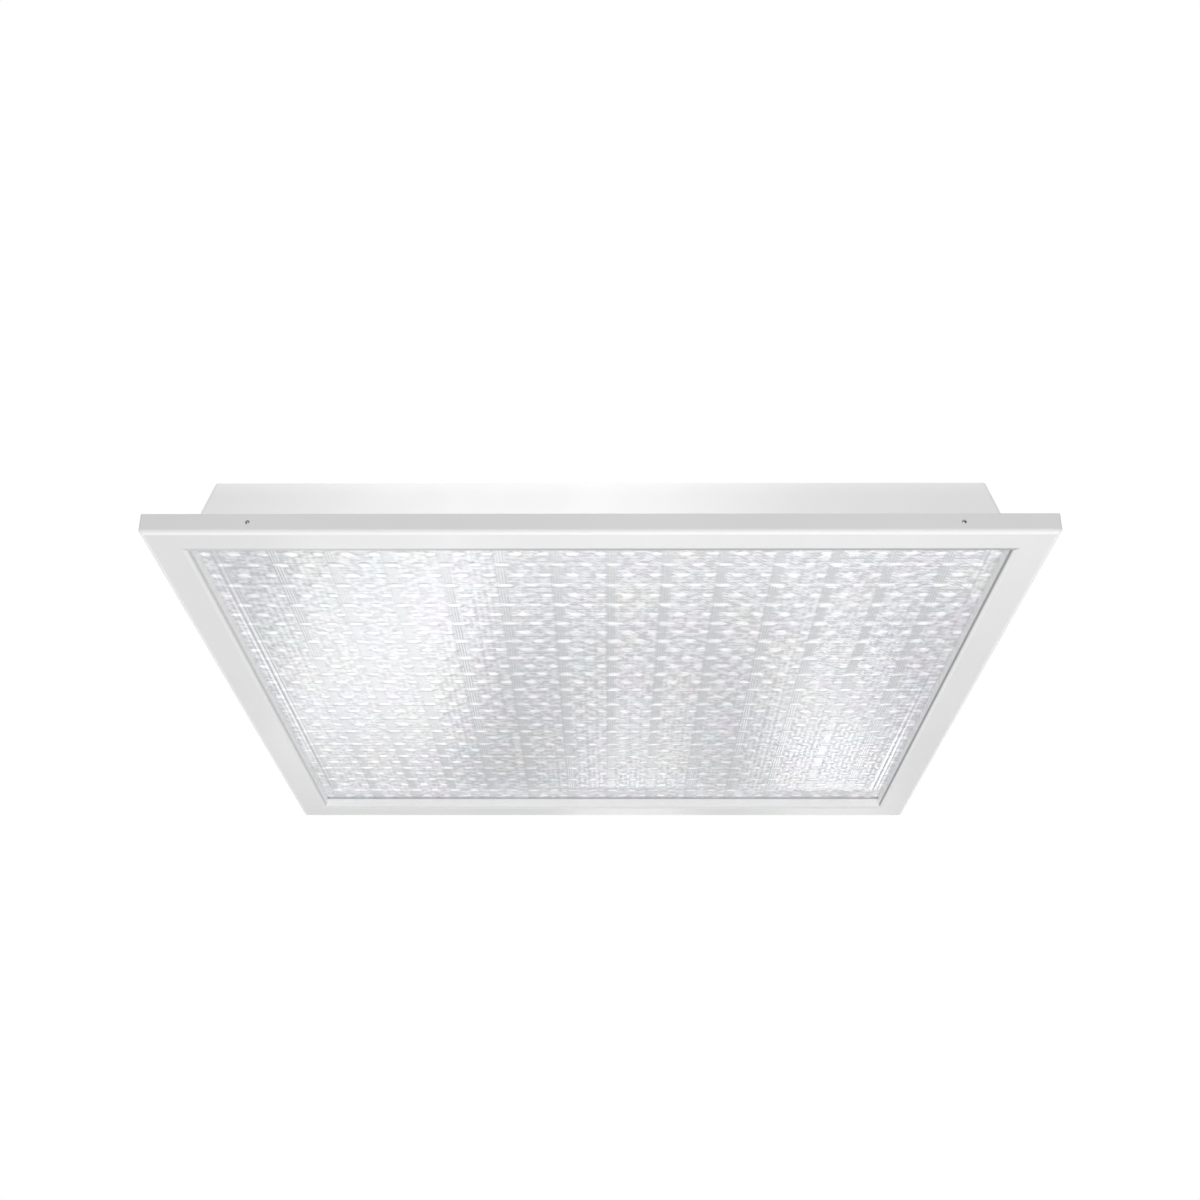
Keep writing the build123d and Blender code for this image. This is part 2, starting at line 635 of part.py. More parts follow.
# Cable clamp: two feet and a saddle that hold the mains cable behind its entry.
def cable_clamp():
    along = (CLAMP_X - CLAMP_LENGTH / 2, CLAMP_X + CLAMP_LENGTH / 2)
    reach = CLAMP_SPACING / 2 + CLAMP_FOOT / 2
    low = ENTRY_Z - ENTRY_RADIUS
    bar = block(along, (-reach, reach), (low, ENTRY_Z + ENTRY_RADIUS + CLAMP_WALL))
    bar = fillet(bar.edges().filter_by(Axis.X).group_by(Axis.Z)[-1], CLAMP_WALL)
    bar -= rod(
        ENTRY_RADIUS + FIT,
        (along[0] - SHEET, 0, ENTRY_Z),
        (along[1] + SHEET, 0, ENTRY_Z),
    )
    feet = [
        block(along, (y - CLAMP_FOOT / 2, y + CLAMP_FOOT / 2), (BOX_FLOOR, low))
        for y in pair(CLAMP_SPACING)
    ]
    return bar + feet


def bush(bore, wall, flange, gap, lip):
    """A snap-in bush along +Z: flange, neck and retaining lip, about a sheet of the given gap."""
    half = gap / 2
    section = Polyline(
        (bore, -half - lip),
        (bore + wall + SHEET, -half - lip),
        (bore + wall + SHEET, -half),
        (bore + wall, -half),
        (bore + wall, half),
        (bore + wall + flange, half),
        (bore + wall + flange, half + lip / 2),
        (bore + wall, half + lip),
        (bore, half + lip),
        close=True,
    )
    return revolve(Plane.XZ * make_face(section), Axis.Z)


def cable_bush():
    grommet = bush(ENTRY_RADIUS, BUSH_WALL, BUSH_FLANGE, SHEET, CABLE_BUSH_LIP)
    return Pos(BOX_ENDS[0] + SHEET / 2, 0, ENTRY_Z) * Rot(0, -90, 0) * grommet


def lead_bush():
    grommet = bush(LEAD_RADIUS, BUSH_WALL, BUSH_FLANGE, 2 * SHEET, LEAD_BUSH_LIP)
    return Pos(LEAD_X, 0, TRAY_HEIGHT) * grommet


def earth_stud():
    x, y = STUD_PLACE
    stud = rod(STUD_RADIUS, (x, y, BOX_FLOOR), (x, y, BOX_FLOOR + STUD_HEIGHT))
    washer = rod(WASHER_RADIUS, (x, y, BOX_FLOOR), (x, y, BOX_FLOOR + SHEET))
    nut = Pos(x, y, BOX_FLOOR + SHEET) * extrude(RegularPolygon(NUT_RADIUS, 6), NUT_HEIGHT)
    return stud + washer + nut


# Hanger brackets: four folded strips riveted to the tray, whose ledges take the hanging rods.
def hanger_brackets():
    foot_end = -HANGER_LEDGE / 2 - HANGER_FOOT
    web = -HANGER_LEDGE / 2
    top = TRAY_HEIGHT + HANGER_RISE
    outline = Polyline(
        (foot_end, TRAY_HEIGHT),
        (web, TRAY_HEIGHT),
        (web, top - HANGER_SHEET),
        (-web, top - HANGER_SHEET),
        (-web, top),
        (web - HANGER_SHEET, top),
        (web - HANGER_SHEET, TRAY_HEIGHT + HANGER_SHEET),
        (foot_end, TRAY_HEIGHT + HANGER_SHEET),
        close=True,
    )
    strip = extrude(Plane.XZ * make_face(outline), HANGER_WIDTH / 2, both=True)
    corners = [
        (web, TRAY_HEIGHT, HANGER_BEND + HANGER_SHEET),
        (web - HANGER_SHEET, top, HANGER_BEND + HANGER_SHEET),
        (web, top - HANGER_SHEET, HANGER_BEND),
        (web - HANGER_SHEET, TRAY_HEIGHT + HANGER_SHEET, HANGER_BEND),
    ]
    for x, z, radius in corners:
        strip = fillet(strip.edges().filter_by(Axis.Y).sort_by_distance((x, 0, z))[0], radius)
    brackets = []
    for turn in (0, 180):
        for y in (-1, 1):
            place = Pos(0, y * HANGER_SPACING / 2, 0) * Rot(0, 0, turn) * Pos(HANGER_SPACING / 2, 0, 0)
            bracket = place * strip
            x = math.cos(math.radians(turn)) * HANGER_SPACING / 2
            at = y * HANGER_SPACING / 2
            bracket -= rod(HANGER_HOLE_RADIUS, (x, at, top - 2 * HANGER_SHEET), (x, at, top + SHEET))
            for rx, ry in rivet_places():
                if rx * x > 0 and ry * at > 0:
                    bracket -= rod(
                        RIVET_RADIUS + RUNNING,
                        (rx, ry, TRAY_HEIGHT - SHEET),
                        (rx, ry, TRAY_HEIGHT + 2 * HANGER_SHEET),
                    )
            brackets.append(bracket)
    return brackets


def bracket_rivets():
    top = TRAY_HEIGHT + HANGER_SHEET
    rivets = []
    for x, y in rivet_places():
        head = rod(RIVET_HEAD, (x, y, top), (x, y, top + RIVET_HEIGHT))
        head = chamfer(head.faces().sort_by(Axis.Z)[-1].edges(), RIVET_CHAMFER)
        shank = rod(RIVET_RADIUS, (x, y, CEILING - RIVET_HEIGHT), (x, y, top))
        rivets.append(head + shank)
    return rivets


save("door_frame", door_frame())
save("lens", lens())
save("lens_clips", lens_clips())
save("hinge_knuckles", hinge_knuckles())
save("hinge_brackets", hinge_brackets())
save("hinge_pins", hinge_pins())
save("catch_housings", catch_housings())
for side, x in zip(("left", "right"), CATCH_XS):
    save(f"catch_pin_{side}", catch_pin(x))
    save(f"catch_spring_{side}", catch_spring(x))
save("tray", tray())
save("tray_gasket", tray_gasket())
save("reflector", reflector())
for number, x in enumerate(BOARD_XS, 1):
    save(f"led_board_{number}", led_board(x))
    save(f"led_row_{number}", led_row(x))
save("board_screws", board_screws())
save("board_connectors", board_connectors())
save("driver_box", driver_box())
save("driver_cover", driver_cover())
save("cover_screws", cover_screws())
save("led_driver", led_driver())
save("driver_screws", driver_screws())
save("terminal_block", terminal_block())
save("cable_clamp", cable_clamp())
save("cable_bush", cable_bush())
save("lead_bush", lead_bush())
save("earth_stud", earth_stud())
save("hanger_brackets", hanger_brackets())
save("bracket_rivets", bracket_rivets())
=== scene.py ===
import bpy
import bmesh
import math
from mathutils import Matrix, Vector


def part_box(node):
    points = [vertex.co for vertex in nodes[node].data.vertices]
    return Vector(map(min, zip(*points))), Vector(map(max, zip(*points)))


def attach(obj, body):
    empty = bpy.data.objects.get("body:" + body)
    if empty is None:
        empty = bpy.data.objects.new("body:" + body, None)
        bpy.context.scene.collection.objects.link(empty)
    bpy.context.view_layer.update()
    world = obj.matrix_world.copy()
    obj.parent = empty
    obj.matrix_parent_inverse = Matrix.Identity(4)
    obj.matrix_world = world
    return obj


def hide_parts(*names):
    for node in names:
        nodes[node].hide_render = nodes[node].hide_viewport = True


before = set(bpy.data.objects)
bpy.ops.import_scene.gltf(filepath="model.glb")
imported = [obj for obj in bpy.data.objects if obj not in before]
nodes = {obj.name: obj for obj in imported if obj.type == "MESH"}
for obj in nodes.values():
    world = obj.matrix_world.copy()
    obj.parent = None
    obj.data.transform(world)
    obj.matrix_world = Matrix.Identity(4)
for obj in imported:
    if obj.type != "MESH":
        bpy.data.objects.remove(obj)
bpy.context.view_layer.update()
MM = 0.001


# ---------------------------------------------------------------- Camera and studio
# The light hangs above a wide pale floor with plain white all round, and is seen from below and
# in front. Soft lamps stand below, before and above it. Two stand where the lens mirrors them in
# this view, and two strips where the near and far borders do.

CAMERA_PLACE = (5.2 * MM, -1148.9 * MM, -459.8 * MM)
CAMERA_UP = 25.80          # degrees above the horizon
CAMERA_LEFT = 0.33
CAMERA_ROLL = 0.11
FOCAL_LENGTH = 45.14       # for a sensor 36 mm wide
FLOOR_LEVEL = -1.6


def aim():
    turn = Matrix.Rotation(math.radians(CAMERA_LEFT), 3, "Z")
    turn @= Matrix.Rotation(math.radians(90 + CAMERA_UP), 3, "X")
    return turn @ Matrix.Rotation(math.radians(CAMERA_ROLL), 3, "Z")


lens_data = bpy.data.cameras.new("camera")
lens_data.lens = FOCAL_LENGTH
lens_data.sensor_width = 36.0
lens_data.clip_start = 0.05
lens_data.clip_end = 50.0
camera = bpy.data.objects.new("camera", lens_data)
camera.location = CAMERA_PLACE
camera.rotation_euler = aim().to_euler()
bpy.context.collection.objects.link(camera)
bpy.context.scene.camera = camera
bpy.context.scene.view_settings.view_transform = "Standard"


def lamp(name, place, target, size, watts):
    """A rectangular soft lamp that the camera doesn't see."""
    data = bpy.data.lights.new(name, "AREA")
    data.shape = "RECTANGLE"
    data.size, data.size_y = size
    data.energy = watts
    obj = bpy.data.objects.new(name, data)
    obj.location = place
    obj.rotation_euler = (Vector(target) - Vector(place)).to_track_quat("-Z", "Y").to_euler()
    obj.visible_camera = False
    bpy.context.collection.objects.link(obj)


lamp("key_lamp", (0.75, -1.15, -1.05), (0.05, -0.05, 0.0), (0.9, 0.9), 2.0)
lamp("under_lamp", (0.10, 0.10, -1.45), (0.0, 0.0, 0.0), (1.3, 1.0), 8.7)
lamp("upper_lamp", (-0.12, -1.47, 1.75), (0.0, -0.26, 0.035), (0.80, 0.35), 22.4)
lamp("front_lamp", (0.10, -1.35, -1.40), (0.0, -0.28, 0.0), (1.6, 0.5), 11.8)
lamp("right_lamp", (0.95, -0.25, -0.80), (-0.10, 0.05, 0.0), (0.4, 0.4), 0.27)
lamp("left_lamp", (-0.95, -0.25, -0.80), (0.10, 0.05, 0.0), (0.4, 0.4), 1.1)
lamp("left_glare_lamp", (-0.42, 1.38, -0.70), (-0.17, -0.13, 0.01), (0.34, 0.44), 0.78)
lamp("right_glare_lamp", (0.50, 2.07, -0.70), (0.20, 0.15, 0.01), (0.26, 0.11), 0.42)
lamp("near_strip", (0.22, 0.93, -0.70), (0.05, -0.284, 0.0), (1.0, 0.12), 1.0)
lamp("far_strip", (0.06, 2.50, -0.70), (0.0, 0.284, 0.0), (0.30, 0.14), 0.39)


class Value:
    """A shader socket that takes part in sums."""

    def __init__(self, finish, socket):
        self.finish = finish
        self.socket = socket

    def math(self, operation, *others):
        values = dict(enumerate((self, *others)))
        return self.finish.node("ShaderNodeMath", {"operation": operation}, values)

    def __add__(self, other):
        return self.math("ADD", other)

    def __radd__(self, other):
        return self.math("ADD", other)

    def __sub__(self, other):
        return self.math("SUBTRACT", other)

    def __rsub__(self, other):
        return self.finish.node("ShaderNodeMath", {"operation": "SUBTRACT"}, {0: other, 1: self})

    def __mul__(self, other):
        return self.math("MULTIPLY", other)

    def __rmul__(self, other):
        return self.math("MULTIPLY", other)

    def __truediv__(self, other):
        return self.math("DIVIDE", other)

    def step(self, low, high):
        """Rises smoothly from 0 to 1 between low and high."""
        settings = {"interpolation_type": "SMOOTHSTEP"}
        values = {0: self, 1: low, 2: high, 3: 0.0, 4: 1.0}
        return self.finish.node("ShaderNodeMapRange", settings, values)

    def away(self):
        """Distance to the nearest whole number."""
        return (self - self.math("ROUND")).math("ABSOLUTE")


class Finish:
    """A named material, built up from nodes."""

    def __init__(self, name, **constants):
        self.material = bpy.data.materials.new(name)
        self.material.use_nodes = True
        self.tree = self.material.node_tree
        self.shader = self.tree.nodes["Principled BSDF"]
        for socket, value in constants.items():
            self.shader.inputs[socket.replace("_", " ")].default_value = value

    def node(self, kind, settings, inputs, out=0):
        node = self.tree.nodes.new(kind)
        for name, value in settings.items():
            setattr(node, name, value)
        for key, value in inputs.items():
            self.put(node.inputs[key], value)
        return Value(self, node.outputs[out])

    def put(self, socket, value):
        if isinstance(value, Value):
            self.tree.links.new(value.socket, socket)
        else:
            socket.default_value = value

    def place(self):
        """The point's place on the object, in metres, as a vector."""
        return self.node("ShaderNodeTexCoord", {}, {}, "Object")

    def axes(self):
        split = self.tree.nodes.new("ShaderNodeSeparateXYZ")
        self.put(split.inputs[0], self.place())
        return [Value(self, socket) for socket in split.outputs]

    def noise(self, size, detail=2.0, roughness=0.5, out=0, stretch=(1.0, 1.0, 1.0)):
        """Soft noise about 0.5, with lumps of the given size in metres."""
        scale = tuple(s / size for s in stretch)
        place = self.node("ShaderNodeMapping", {}, {0: self.place(), 3: scale})
        values = {"Vector": place, "Scale": 1.0, "Detail": detail, "Roughness": roughness}
        return self.node("ShaderNodeTexNoise", {}, values, out)

    def mix(self, factor, first, second):
        """The second colour over the first, by factor."""
        values = {0: factor, 6: first, 7: second}
        return self.node("ShaderNodeMix", {"data_type": "RGBA"}, values, 2)

    def bump(self, height, depth, strength=1.0):
        """Raises the surface by height, in units of depth in metres."""
        values = {"Height": height, "Distance": depth, "Strength": strength}
        self.put(self.shader.inputs["Normal"], self.node("ShaderNodeBump", {}, values))

    def set(self, **links):
        for socket, value in links.items():
            self.put(self.shader.inputs[socket.replace("_", " ")], value)

    def so_far(self, socket):
        """The value that already feeds a socket of the shader."""
        return Value(self, self.shader.inputs[socket].links[0].from_socket)

    def on(self, *objects):
        for obj in objects:
            if not obj.material_slots:
                obj.data.materials.append(self.material)
            for slot in obj.material_slots:
                slot.material = self.material


FLOOR_RADIUS = 14.0
floor = Finish("studio_floor", Roughness=0.9, Base_Color=(0.86, 0.86, 0.86, 1.0))
ground = bmesh.new()
bmesh.ops.create_circle(ground, cap_ends=True, segments=64, radius=FLOOR_RADIUS)
bmesh.ops.translate(ground, verts=ground.verts, vec=(0.0, 0.0, FLOOR_LEVEL))
ground_mesh = bpy.data.meshes.new("studio_floor")
ground.to_mesh(ground_mesh)
ground_plane = bpy.data.objects.new("studio_floor", ground_mesh)
bpy.context.collection.objects.link(ground_plane)
floor.on(ground_plane)

WORLD_LIGHT = 0.41         # strength on the object; the camera sees 1, which is white
world = bpy.data.worlds.new("studio")
world.use_nodes = True
bpy.context.scene.world = world
sky = world.node_tree
path = sky.nodes.new("ShaderNodeLightPath")
seen = path.outputs["Is Camera Ray"]
for kind in ("Is Glossy Ray", "Is Transmission Ray"):
    either = sky.nodes.new("ShaderNodeMath")
    either.operation = "MAXIMUM"
    sky.links.new(seen, either.inputs[0])
    sky.links.new(path.outputs[kind], either.inputs[1])
    seen = either.outputs[0]
strength = sky.nodes.new("ShaderNodeMapRange")
sky.links.new(seen, strength.inputs[0])
strength.inputs[3].default_value = WORLD_LIGHT
strength.inputs[4].default_value = 1.0
sky.links.new(strength.outputs[0], sky.nodes["Background"].inputs["Strength"])
sky.nodes["Background"].inputs["Color"].default_value = (1.0, 1.0, 1.0, 1.0)


# ---------------------------------------------------------------- Door frame
# The visible frame: one ring of sheet steel, folded to a channel and stove-painted satin white.
# Its colour also carries painted shade as the dark line round the window, painted light on the
# paler return and a painted highlight on the paler rolled bend, which are painted by place to match
# one view and aren't made by the lamps.

def paint(name, colour, roughness, peel=0.9 * MM):
    """Stove paint on steel: a faint orange peel, with slow changes of tone and gloss."""
    finish = Finish(name, Specular_IOR_Level=0.28)
    cloud = finish.noise(0.16, 3.0)
    darker = tuple(c * 0.972 for c in colour[:3]) + (1.0,)
    finish.set(Base_Color=finish.mix(cloud.step(0.3, 0.7), darker, colour))
    finish.set(Roughness=roughness + finish.noise(0.03, 2.0) * 0.05)
    finish.bump(finish.noise(peel, 2.0), 0.02 * MM, 0.35)
    return finish


# Places on the frame between which a mask rises: distances from the middle, then heights.
RETURN_EDGE = (271.6 * MM, 273.8 * MM)
INNER_ROLL = (273.6 * MM, 274.8 * MM)
NEAR_LINE_EDGE = (274.4 * MM, 276.4 * MM)
SIDE_LINE_EDGE = (274.0 * MM, 275.0 * MM)
OUTER_BEND = (293.4 * MM, 295.4 * MM)
FAR_SIDE = (266.0 * MM, 269.0 * MM)
NEAR_SIDE = (-270.5 * MM, -269.5 * MM)
NEAR_CORNER = (-1.0 * MM, 0.5 * MM)
LEFT_TO_MIDDLE = (-260.0 * MM, 40.0 * MM)
RETURN_FOOT = (0.9 * MM, 2.0 * MM)
BEND_TOP = (1.8 * MM, 3.0 * MM)
SIDE_LINE_FOOT = (0.3 * MM, 1.0 * MM)
SIDE_LINE_TOP = (2.6 * MM, 3.6 * MM)
FAR_GAP_FOOT = (8.4 * MM, 9.4 * MM)
LINE_AT_LEFT = 0.3         # strength of the painted shade line, and what it gains towards the middle
NEAR_LINE_GAIN = 0.35
SIDE_LINE_GAIN = 0.4
FAR_GAP_SHADE_STRENGTH = 0.6
INNER_ROUGHER = 0.45
PAINTED_SHADE_COLOUR = (0.22, 0.22, 0.225, 1.0)
RETURN_LIGHT_COLOUR = (0.99, 0.99, 0.99, 1.0)
BEND_HIGHLIGHT_COLOUR = (0.80, 0.80, 0.80, 1.0)


def from_middle(x, y):
    """Distance from the middle, the same all along a square."""
    return x.math("ABSOLUTE").math("MAXIMUM", y.math("ABSOLUTE"))


frame_paint = paint("frame_paint", (0.67, 0.675, 0.67, 1.0), 0.20)
x, y, z = frame_paint.axes()
farthest = from_middle(x, y)
# Painted light: the inner return is drawn much paler than the rest of the frame's paint.
within = (1.0 - farthest.step(*RETURN_EDGE)) * z.step(*RETURN_FOOT)
coat_and_painted_light = frame_paint.mix(within, frame_paint.so_far("Base Color"), RETURN_LIGHT_COLOUR)
# Painted highlight: the outer rolled bend at the foot of the frame's sides is drawn paler.
bend = farthest.step(*OUTER_BEND) * (1.0 - z.step(*BEND_TOP))
coat_and_painted_light = frame_paint.mix(bend, coat_and_painted_light, BEND_HIGHLIGHT_COLOUR)
near_side = 1.0 - (x.math("ABSOLUTE") + y).step(*NEAR_CORNER)
near_side = near_side * (1.0 - y.step(*NEAR_SIDE))
far_side = y.step(*FAR_SIDE)
gain = x.step(*LEFT_TO_MIDDLE)
# Painted shade: a dark line on the near side's inner roll, darker from the left end towards the
# middle.
lip = near_side * (1.0 - farthest.step(*NEAR_LINE_EDGE)) * (LINE_AT_LEFT + gain * NEAR_LINE_GAIN)
# Painted shade: the same dark line low on the inner roll of the left and right sides.
sides = (1.0 - near_side) * (1.0 - far_side)
sides = sides * z.step(*SIDE_LINE_FOOT) * (1.0 - z.step(*SIDE_LINE_TOP))
sides = sides * (1.0 - farthest.step(*SIDE_LINE_EDGE)) * (LINE_AT_LEFT + gain * SIDE_LINE_GAIN)
# Painted shade: a dark line at the top of the far return, where it meets the lens.
far_gap_shade = within * far_side * z.step(*FAR_GAP_FOOT)
lines = lip.math("MAXIMUM", sides).math("MAXIMUM", far_gap_shade * FAR_GAP_SHADE_STRENGTH)
inner = 1.0 - farthest.step(*INNER_ROLL)
frame_paint.set(Roughness=frame_paint.so_far("Roughness") + inner * INNER_ROUGHER)
# The painted shade lines are laid over the frame's colour last.
frame_paint.set(Base_Color=frame_paint.mix(lines, coat_and_painted_light, PAINTED_SHADE_COLOUR))
frame_paint.on(nodes["door_frame"])


# ---------------------------------------------------------------- Lens
# A sheet of clear acrylic, moulded below into a lattice of small lenses between bands of flutes,
# and laid loose on the return of the frame. It is drawn opaque, and its bands and mottle are in its
# colour as well as in its relief; the whitish spots on its small lenses are painted highlights.

lens_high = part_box("lens")[1]
BAND_PITCH = 38.2 * MM
BAND_PLACE = 7.6 * MM      # middle of one band
BAND_HALF = 3.0 * MM
FLUTE_STEP = 1.0 * MM      # from a flute's ridge to its root
CELL_DEPTH = 32.0 * MM     # along the bands
LATTICE_SHIFT = 2.2 * MM   # of the small lenses from the bands
LENSLET_HEIGHT = 0.26 * MM
FLUTE_HEIGHT = 0.04 * MM
PYRAMID_HEIGHT = 0.09 * MM
SEAT = 10.3 * MM
WINDOW_HALF = 271.0 * MM
PATTERN_HALF = 258.0 * MM  # the lattice ends here, and plain ribs go round it
RIBS = (                   # half size and rise of each ring, in millimetres
    (259.2, 0.0), (261.2, 0.14), (263.2, 0.0), (265.2, 0.14), (267.2, 0.0), (269.2, 0.14),
    (270.6, 0.0),
)
BAND_STEPS = 3             # of the cell's grid, from the middle of a band to its edge
PYRAMIDS = 7               # between two bands
ROWS = 16

# Middle and half size of the small lenses, as shares of the cell.
LENSLETS = (
    (0.25, 0.25, 0.15, 0.13), (0.75, 0.25, 0.12, 0.11),
    (0.0, 0.75, 0.18, 0.10), (0.5, 0.75, 0.13, 0.11),
)


def dome(u, v, middle_u, middle_v, half_u, half_v):
    """Height of a small lens, from 0 at its edge to 1 in its middle."""
    du = (u - middle_u + 0.5) % 1.0 - 0.5
    dv = (v - middle_v + 0.5) % 1.0 - 0.5
    return max(0.0, 1.0 - (du / half_u) ** 2 - (dv / half_v) ** 2)


def across_cell(step):
    """Place of a grid line: fine steps over the bands at both sides, wider ones between them."""
    if step <= BAND_STEPS:
        return step * FLUTE_STEP
    if step >= BAND_STEPS + 2 * PYRAMIDS:
        return BAND_PITCH - (2 * BAND_STEPS + 2 * PYRAMIDS - step) * FLUTE_STEP
    wide = (BAND_PITCH - 2 * BAND_HALF) / (2 * PYRAMIDS)
    return BAND_HALF + (step - BAND_STEPS) * wide


def relief(column, row):
    """Depth of the moulded pattern at a point of the cell's grid."""
    u = (across_cell(column) - LATTICE_SHIFT) / BAND_PITCH
    lens = max(dome(u, row / ROWS, *lenslet) for lenslet in LENSLETS)
    if lens > 0.0:
        return LENSLET_HEIGHT * (0.3 + 0.7 * lens)
    from_band = min(column, 2 * BAND_STEPS + 2 * PYRAMIDS - column)
    if from_band <= BAND_STEPS:
        return FLUTE_HEIGHT if from_band % 2 == 0 else 0.0
    return PYRAMID_HEIGHT if (column - BAND_STEPS) % 2 and row % 2 else 0.0


def verts_of(geom):
    return [item for item in geom if isinstance(item, bmesh.types.BMVert)]


def edges_of(geom):
    return [item for item in geom if isinstance(item, bmesh.types.BMEdge)]


def everything(form):
    return form.verts[:] + form.edges[:] + form.faces[:]


columns = 2 * BAND_STEPS + 2 * PYRAMIDS
cell = bmesh.new()
bmesh.ops.create_grid(cell, x_segments=columns, y_segments=ROWS, size=0.5)
for vert in cell.verts:
    column = round((vert.co.x + 0.5) * columns)
    row = round((vert.co.y + 0.5) * ROWS)
    vert.co = (across_cell(column), row / ROWS * CELL_DEPTH, SEAT - relief(column, row))
cell_mesh = bpy.data.meshes.new("lens_cell")
cell.to_mesh(cell_mesh)
pattern = bpy.data.objects.new("lens_cell", cell_mesh)
bpy.context.collection.objects.link(pattern)
cells_x = math.ceil(2 * WINDOW_HALF / BAND_PITCH) + 2
cells_y = math.ceil(2 * WINDOW_HALF / CELL_DEPTH) + 1
for axis, count, step in ((0, cells_x, BAND_PITCH), (1, cells_y, CELL_DEPTH)):
    array = pattern.modifiers.new("array", "ARRAY")
    array.count = count
    array.use_relative_offset = False
    array.use_constant_offset = True
    offset = [0.0, 0.0, 0.0]
    offset[axis] = step
    array.constant_offset_displace = offset
    array.use_merge_vertices = True
    array.merge_threshold = 0.02 * MM
bpy.context.view_layer.update()
evaluated = pattern.evaluated_get(bpy.context.evaluated_depsgraph_get())
whole = bpy.data.meshes.new_from_object(evaluated)
bpy.data.objects.remove(pattern)
sheet = bmesh.new()
sheet.from_mesh(whole)
first_band = BAND_PLACE - math.ceil((WINDOW_HALF + BAND_PLACE) / BAND_PITCH) * BAND_PITCH
bmesh.ops.translate(sheet, verts=sheet.verts, vec=(first_band, -cells_y / 2 * CELL_DEPTH, 0.0))
for x, y in ((1, 0), (-1, 0), (0, 1), (0, -1)):
    bmesh.ops.bisect_plane(
        sheet,
        geom=everything(sheet),
        dist=0.001 * MM,
        plane_co=(x * PATTERN_HALF, y * PATTERN_HALF, 0.0),
        plane_no=(x, y, 0.0),
        clear_outer=True,
    )
side = [edge for edge in sheet.edges if edge.is_boundary]
half = PATTERN_HALF
for ring, rise in (*RIBS, (lens_high.x / MM, 0.0)):
    out = bmesh.ops.extrude_edge_only(sheet, edges=side)["geom"]
    side = edges_of(out)
    for vert in verts_of(out):
        scale = ring * MM / half
        vert.co = (vert.co.x * scale, vert.co.y * scale, SEAT - rise * MM)
    half = ring * MM
out = bmesh.ops.extrude_edge_only(sheet, edges=side)["geom"]
bmesh.ops.translate(sheet, verts=verts_of(out), vec=(0.0, 0.0, lens_high.z - SEAT))
bmesh.ops.holes_fill(sheet, edges=edges_of(out), sides=0)
bmesh.ops.recalc_face_normals(sheet, faces=sheet.faces)
lens_mesh = bpy.data.meshes.new("prismatic_lens")
sheet.to_mesh(lens_mesh)
lens = bpy.data.objects.new("prismatic_lens", lens_mesh)
bpy.context.collection.objects.link(lens)

acrylic = Finish("prismatic_acrylic", IOR=1.49, Coat_Weight=1.0, Coat_Roughness=0.22)
x, y, z = acrylic.axes()
across = (x - BAND_PLACE) / BAND_PITCH
along = y / CELL_DEPTH + 0.5 * (cells_y % 2)
shifted = (x - BAND_PLACE - LATTICE_SHIFT) / BAND_PITCH
mottle = acrylic.noise(0.005, 1.0, 0.5, 0, (0.7, 1.0, 1.0))
scallop = (along * 2.0).away() - 0.25
edge = across.away() * (BAND_PITCH / BAND_HALF) + scallop * 2.4 + (mottle - 0.5) * 2.2
band = 1.0 - edge.step(0.7, 2.0)
lines = ((x - BAND_PLACE) / (2 * FLUTE_STEP)).away().step(0.1, 0.4)
ridge = ((x - BAND_PLACE + BAND_HALF) / BAND_PITCH).away()
ridge = 1.0 - ridge.step(0.6 * MM / BAND_PITCH, 1.4 * MM / BAND_PITCH)


def dots(centre_x, centre_y, half_x, half_y):
    """Mask of one of the cell's small lenses."""
    dx = (shifted - centre_x).away() / half_x
    dy = (along - centre_y).away() / half_y
    reach = dx * dx + dy * dy
    return 1.0 - reach.step(0.05, 1.0)


# Painted highlights: whitish spots over the small lenses, of uneven strength.
bright = dots(*LENSLETS[0])
for lenslet in LENSLETS[1:]:
    bright = bright.math("MAXIMUM", dots(*lenslet))
uneven = acrylic.noise(0.012, 1.0).step(0.25, 0.75)
grey = acrylic.mix(mottle.step(0.38, 0.62), (0.47, 0.475, 0.50, 1.0), (0.67, 0.675, 0.705, 1.0))
tint = acrylic.noise(0.05, 2.0, 0.5, 1)
grey = acrylic.mix(0.10, grey, tint)
dark = acrylic.mix(lines, (0.47, 0.485, 0.50, 1.0), (0.53, 0.54, 0.555, 1.0))
colour = acrylic.mix(band * (0.85 - bright * 0.6) * (0.7 + mottle * 0.5), grey, dark)
colour = acrylic.mix(ridge * 0.35, colour, (0.42, 0.435, 0.45, 1.0))
# The colour of the painted highlights.
white = (0.90, 0.90, 0.92, 1.0)
acrylic.set(Base_Color=acrylic.mix(bright * (0.5 + uneven * 0.5), colour, white))
acrylic.set(Roughness=0.12 + mottle * 0.08)
acrylic.on(lens)
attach(lens, "door")
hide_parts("lens")


# ---------------------------------------------------------------- Tray
# The housing: one sheet of steel, cut, folded to a tapered tray with welded corners and a flange,
# with stiffening beads pressed in its top, and stove-painted white all over. Its lamp room and the
# liner are drawn greyer than that paint, as painted shade, so that they don't burn out with the
# door open.

tray_paint = paint("tray_paint", (0.86, 0.865, 0.86, 1.0), 0.30)
x, y, z = tray_paint.axes()
board_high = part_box("led_board_1")[1]
ROOM_TOP = (board_high.z + 2.2 * MM, board_high.z + 2.8 * MM)
ROOM_EDGE = (261.0 * MM, 262.0 * MM)
ROOM_SHADE_COLOUR = (0.66, 0.66, 0.66, 1.0)
